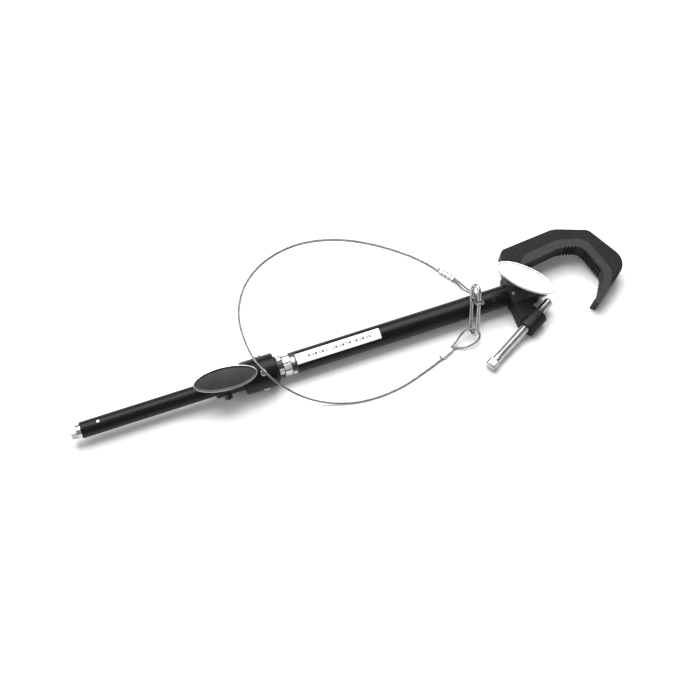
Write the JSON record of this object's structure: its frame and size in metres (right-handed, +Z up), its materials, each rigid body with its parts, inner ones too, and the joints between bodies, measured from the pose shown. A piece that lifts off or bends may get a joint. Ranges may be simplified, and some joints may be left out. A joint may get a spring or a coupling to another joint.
{
  "type": "telescopic drop arm with pipe hook clamp",
  "caption": "Telescopic black drop arm with a cast pipe hook, locking T-handles, a square-head clamp bolt, and a safety wire rope with a carabiner.",
  "frame": {"origin": "middle of the box of the whole arm without its rope, at the level of the surface it lies on", "axes": "+X along the rod from the lamp bolt to the hook, +Z up from the surface it lies on, the hook opens toward -Y"},
  "size_m": [0.673, 0.2458, 0.0666],
  "materials": {
    "black_tube": "satin black anodised tube",
    "cast_black": "rough sand casting, painted black",
    "black_handle": "semi-gloss black enamel on a cast handle",
    "bright_handle": "polished bright plating",
    "label": "white printed film",
    "foil": "dark foil band",
    "bush_plastic": "natural acetal",
    "bronze": "sintered bronze",
    "black_steel": "black oxide steel",
    "bright_steel": "bright zinc plated steel",
    "plain_steel": "turned steel",
    "wire_rope": "galvanised wire rope",
    "ferrule": "pressed aluminium",
    "zinc": "zinc plated wire"
  },
  "bodies": {
    "arm": {"outer_tube": "black_tube", "lock_sleeve": "black_tube", "guide_bush": "bush_plastic", "lock_collar": "black_tube", "collar_screws": "bright_steel", "tension_set_screw": "black_steel", "foil_band": "foil", "white_label": "label", "swivel_spigot": "plain_steel", "spigot_screws": "black_steel", "thrust_washer": "bronze", "retaining_nut": "black_steel", "nut_split_pin": "bright_steel", "lock_brake_shoe": "bronze", "safety_cable": "wire_rope", "cable_sleeve_lower": "ferrule", "cable_sleeve_upper": "ferrule", "carabiner_body": "zinc", "gate_pin": "zinc"},
    "slider": {"inner_tube": "black_tube", "stop_ring": "bush_plastic", "stop_pin": "plain_steel", "end_plug": "plain_steel", "end_plug_pin": "plain_steel", "end_washers": "bright_steel", "lock_washer": "bright_steel"},
    "yoke_bolt": {"yoke_bolt": "bright_steel"},
    "hook": {"hook_casting": "cast_black", "hub_bush": "bronze", "hub_grub_screw": "bright_steel", "clamp_brake_shoe": "bronze"},
    "jaw": {"jaw_bolt": "bright_steel"},
    "clamp_knob": {"clamp_handle": "bright_handle", "clamp_handle_stud": "bright_steel"},
    "lock_knob": {"lock_handle": "black_handle", "lock_handle_stud": "black_steel"},
    "gate": {"carabiner_gate": "zinc"}
  },
  "joints": [
    {"name": "inner_tube_slide", "type": "slide", "parent": "arm", "child": "slider", "axis": [-1, 0, 0], "range_m": [-0.14, 0.085]},
    {"name": "yoke_bolt_turn", "type": "hinge", "parent": "slider", "child": "yoke_bolt", "pos_m": [-0.32486, 0.01196, 0.01955], "axis": [-1, 0, 0], "continuous": true},
    {"name": "hook_swivel", "type": "hinge", "parent": "arm", "child": "hook", "pos_m": [0.19154, 0.01196, 0.01955], "axis": [1, 0, 0], "continuous": true},
    {"name": "jaw_bolt_feed", "type": "slide", "parent": "hook", "child": "jaw", "axis": [0.8763, 0.4756, 0.0767], "range_m": [-0.018, 0.045]},
    {"name": "clamp_handle_turn", "type": "hinge", "parent": "hook", "child": "clamp_knob", "pos_m": [0.20854, 0.01196, 0.01955], "axis": [0, -0.1593, 0.9872], "range_deg": [-180, 180]},
    {"name": "lock_handle_turn", "type": "hinge", "parent": "arm", "child": "lock_knob", "pos_m": [-0.15646, 0.01196, 0.01955], "axis": [0, -0.309, 0.9511], "range_deg": [-180, 180]},
    {"name": "carabiner_gate_swing", "type": "hinge", "parent": "arm", "child": "gate", "pos_m": [0.14403, 0.00854, 0.04246], "axis": [-0.9605, -0.0518, 0.2733], "range_deg": [0, 20], "stiffness_Nm_per_rad": 0.05, "springref_deg": -5.73}
  ]
}
